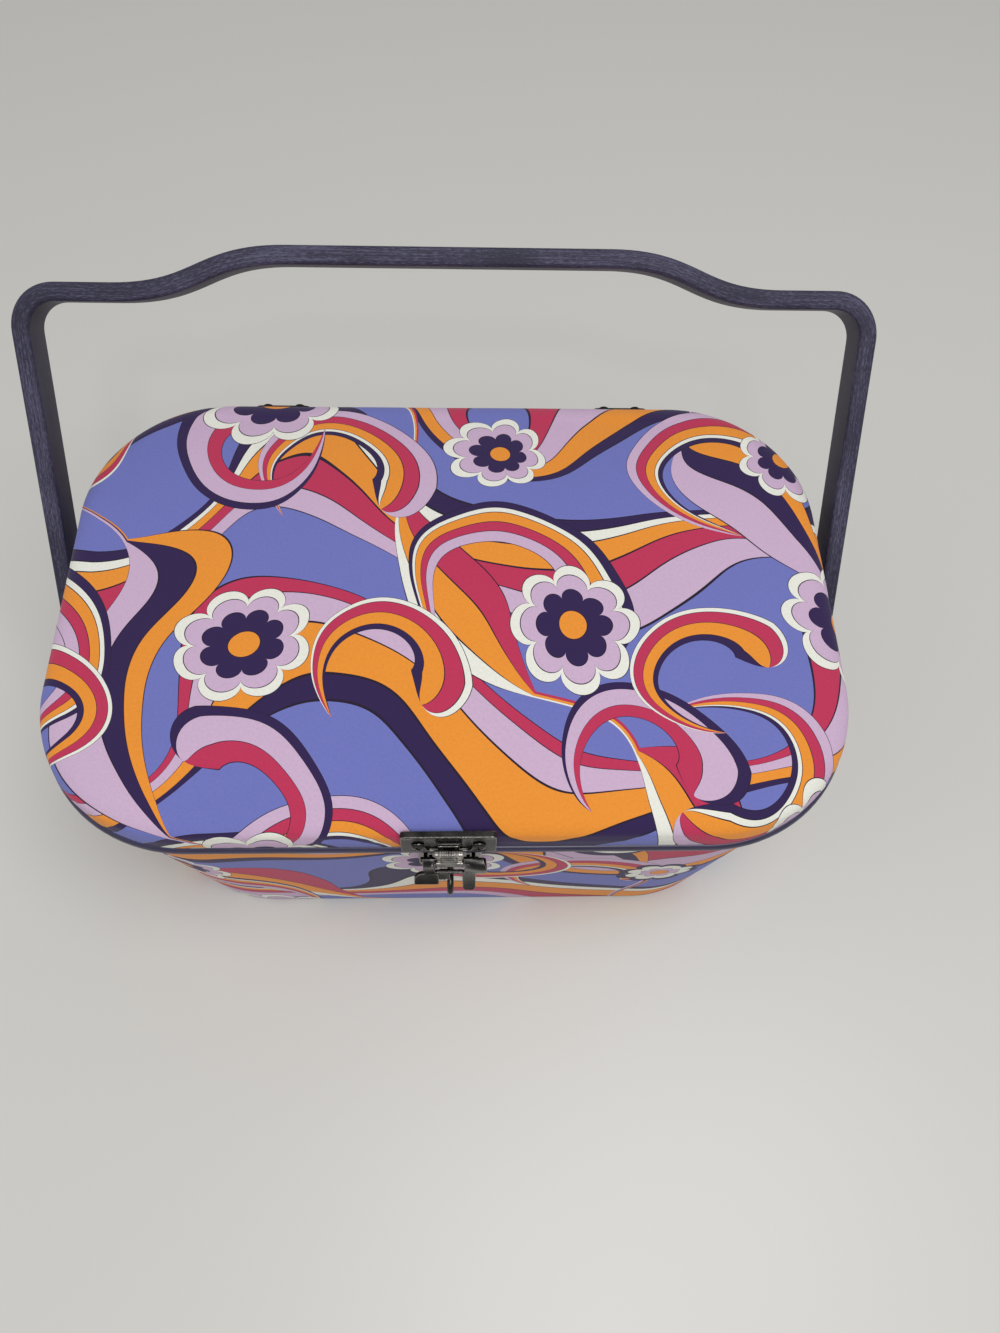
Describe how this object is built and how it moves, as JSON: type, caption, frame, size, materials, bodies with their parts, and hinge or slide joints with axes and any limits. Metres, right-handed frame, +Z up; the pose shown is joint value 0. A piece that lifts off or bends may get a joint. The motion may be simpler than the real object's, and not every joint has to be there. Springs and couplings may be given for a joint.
{
  "type": "sewing basket",
  "caption": "Cloth-covered sewing box with a padded hinged lid, a bent wooden swing handle, a draw latch and a lift-out tray.",
  "frame": {"origin": "middle of the flat underside", "axes": "+X to the right along the lid's length, +Y to the back where the hinges are, +Z up; the latch faces -Y"},
  "size_m": [0.339, 0.2306, 0.2096],
  "materials": {
    "printed_cotton": "fine plain-weave cotton with a bold printed pattern in periwinkle, lavender, cream, orange, crimson and dark purple",
    "trim_cord": "smooth, slightly glossy navy-purple bead",
    "card_board": "grey-brown pressed card",
    "padding_foam": "soft wadding",
    "lining_satin": "lavender satin with a soft sheen",
    "underside_cloth": "dark felt paper",
    "tray_plastic": "milky moulded plastic",
    "painted_wood": "bentwood painted dark navy-purple, grain and rubbed edges showing through",
    "bush_plastic": "dark turned bush",
    "gunmetal": "dark gunmetal plating, satin, with bright rubbed edges"
  },
  "bodies": {
    "base": {"underside_panel": "underside_cloth", "base_floor_board": "card_board", "base_wall": "card_board", "base_cover": "printed_cotton", "base_wall_lining": "lining_satin", "floor_pad": "lining_satin", "base_rim_trim": "trim_cord", "sewing_tray": "tray_plastic", "tray_ledge_front": "lining_satin", "tray_ledge_back": "lining_satin", "handle_bolt_left": "gunmetal", "handle_bolt_right": "gunmetal", "inner_washer_left": "gunmetal", "inner_washer_right": "gunmetal", "cap_nut_left": "gunmetal", "cap_nut_right": "gunmetal", "hinge_base_leaf_left": "gunmetal", "hinge_base_leaf_right": "gunmetal", "hinge_pin_left": "gunmetal", "hinge_pin_right": "gunmetal", "hinge_base_screw_1": "gunmetal", "hinge_base_screw_2": "gunmetal", "hinge_base_screw_3": "gunmetal", "hinge_base_screw_4": "gunmetal", "latch_base_plate": "gunmetal", "latch_base_screw_1": "gunmetal", "latch_base_screw_2": "gunmetal", "latch_lever_pin_left": "gunmetal", "latch_lever_pin_right": "gunmetal", "latch_staple": "gunmetal"},
    "lid": {"lid_cover": "printed_cotton", "lid_padding": "padding_foam", "lid_band": "card_board", "lid_board": "card_board", "lid_lining": "lining_satin", "lid_trim": "trim_cord", "pincushion": "lining_satin", "hinge_lid_leaf_left": "gunmetal", "hinge_lid_leaf_right": "gunmetal", "hinge_lid_screw_1": "gunmetal", "hinge_lid_screw_2": "gunmetal", "hinge_lid_screw_3": "gunmetal", "hinge_lid_screw_4": "gunmetal", "latch_hook_plate": "gunmetal", "latch_hook_screw_1": "gunmetal", "latch_hook_screw_2": "gunmetal"},
    "handle_bushes": {"handle_bush_left": "bush_plastic", "handle_bush_right": "bush_plastic"},
    "handle": {"handle_bow": "painted_wood"},
    "latch_lever": {"latch_lever": "gunmetal", "bail_pin": "gunmetal"},
    "latch_bail": {"latch_bail": "gunmetal"}
  },
  "joints": [
    {"name": "lid_open", "type": "hinge", "parent": "base", "child": "lid", "pos_m": [0, 0.1024, 0.122], "axis": [-1, 0, 0], "range_deg": [0, 95]},
    {"name": "handle_push", "type": "hinge", "parent": "base", "child": "handle_bushes", "pos_m": [0, 0, 0.088], "axis": [-1, 0, 0], "range_deg": [0, 43]},
    {"name": "handle_swing", "type": "hinge", "parent": "handle_bushes", "child": "handle", "pos_m": [0, 0, 0.088], "axis": [-1, 0, 0], "range_deg": [-160, 30]},
    {"name": "latch_lever_swing", "type": "hinge", "parent": "base", "child": "latch_lever", "pos_m": [0, -0.101, 0.1185], "axis": [-1, 0, 0], "range_deg": [0, 95]},
    {"name": "latch_bail_swing", "type": "hinge", "parent": "latch_lever", "child": "latch_bail", "pos_m": [0, -0.1002, 0.1115], "axis": [-1, 0, 0], "range_deg": [-105, 0]}
  ],
  "couplings": [
    {"joint": "handle_push", "follows": "lid_open", "ratio": 0.45},
    {"joint": "latch_bail_swing", "follows": "latch_lever_swing", "ratio": -1.05}
  ]
}
